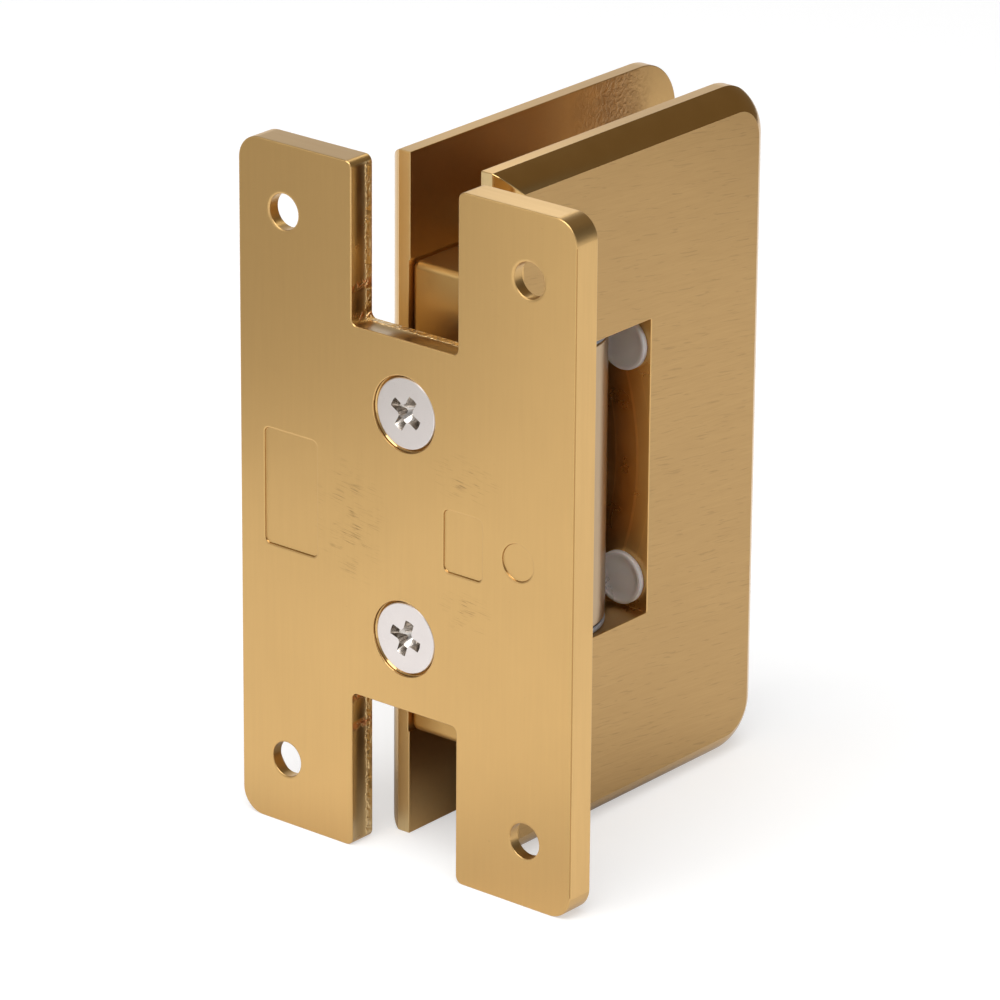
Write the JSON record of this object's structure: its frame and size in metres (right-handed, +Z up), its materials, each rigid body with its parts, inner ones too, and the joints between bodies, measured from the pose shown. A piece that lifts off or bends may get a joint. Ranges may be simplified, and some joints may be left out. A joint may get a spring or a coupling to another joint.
{
  "type": "shower door hinge",
  "caption": "Wall-to-glass shower door hinge: a notched wall plate carries a knuckle block, and a two-sided glass clamp swings about its upright pin both ways.",
  "frame": {"origin": "centre of the wall plate's face that lies on the wall", "axes": "+X away from the wall along the closed glass, +Z up along the pivot, and -Y towards the front clamp plate"},
  "size_m": [0.0596, 0.053, 0.09],
  "materials": {
    "satin_brass_plate": "satin lacquered brass, fine vertical lines, scuffed between the screws",
    "brushed_brass_clamp": "brushed satin brass with polished crowned edges",
    "knuckle_brass": "plated brass, smooth",
    "bright_screw_steel": "bright plated steel",
    "plated_screw_steel": "brass-coloured plating on steel",
    "grey_washer_plastic": "smooth grey plastic",
    "clear_pad_plastic": "translucent, soft sheen",
    "spring_steel": "drawn wire",
    "pin_steel": "ground steel",
    "dark_screw_steel": "oiled dark steel"
  },
  "bodies": {
    "wall_side": {"wall_plate": "satin_brass_plate", "knuckle_block": "knuckle_brass", "pivot_pin": "pin_steel", "block_screw_upper": "bright_screw_steel", "block_screw_lower": "bright_screw_steel", "pin_lock_screw_upper": "dark_screw_steel", "pin_lock_screw_lower": "dark_screw_steel", "thrust_washer_upper": "grey_washer_plastic", "thrust_washer_lower": "grey_washer_plastic"},
    "door_side": {"front_clamp_body": "brushed_brass_clamp", "back_clamp_plate": "brushed_brass_clamp", "clamp_screw_near_upper": "plated_screw_steel", "clamp_screw_near_lower": "plated_screw_steel", "clamp_screw_far_upper": "plated_screw_steel", "clamp_screw_far_lower": "plated_screw_steel", "buffer_pad_front_upper": "clear_pad_plastic", "buffer_pad_front_lower": "clear_pad_plastic", "buffer_pad_back_upper": "clear_pad_plastic", "buffer_pad_back_lower": "clear_pad_plastic", "centring_plunger_upper": "dark_screw_steel", "centring_plunger_lower": "dark_screw_steel", "centring_spring_upper": "spring_steel", "centring_spring_lower": "spring_steel", "spring_plug_upper": "dark_screw_steel", "spring_plug_lower": "dark_screw_steel"}
  },
  "joints": [
    {"name": "door_swing", "type": "hinge", "parent": "wall_side", "child": "door_side", "pos_m": [0.0245, 0, 0], "axis": [0, 0, 1], "range_deg": [-90, 90]}
  ]
}
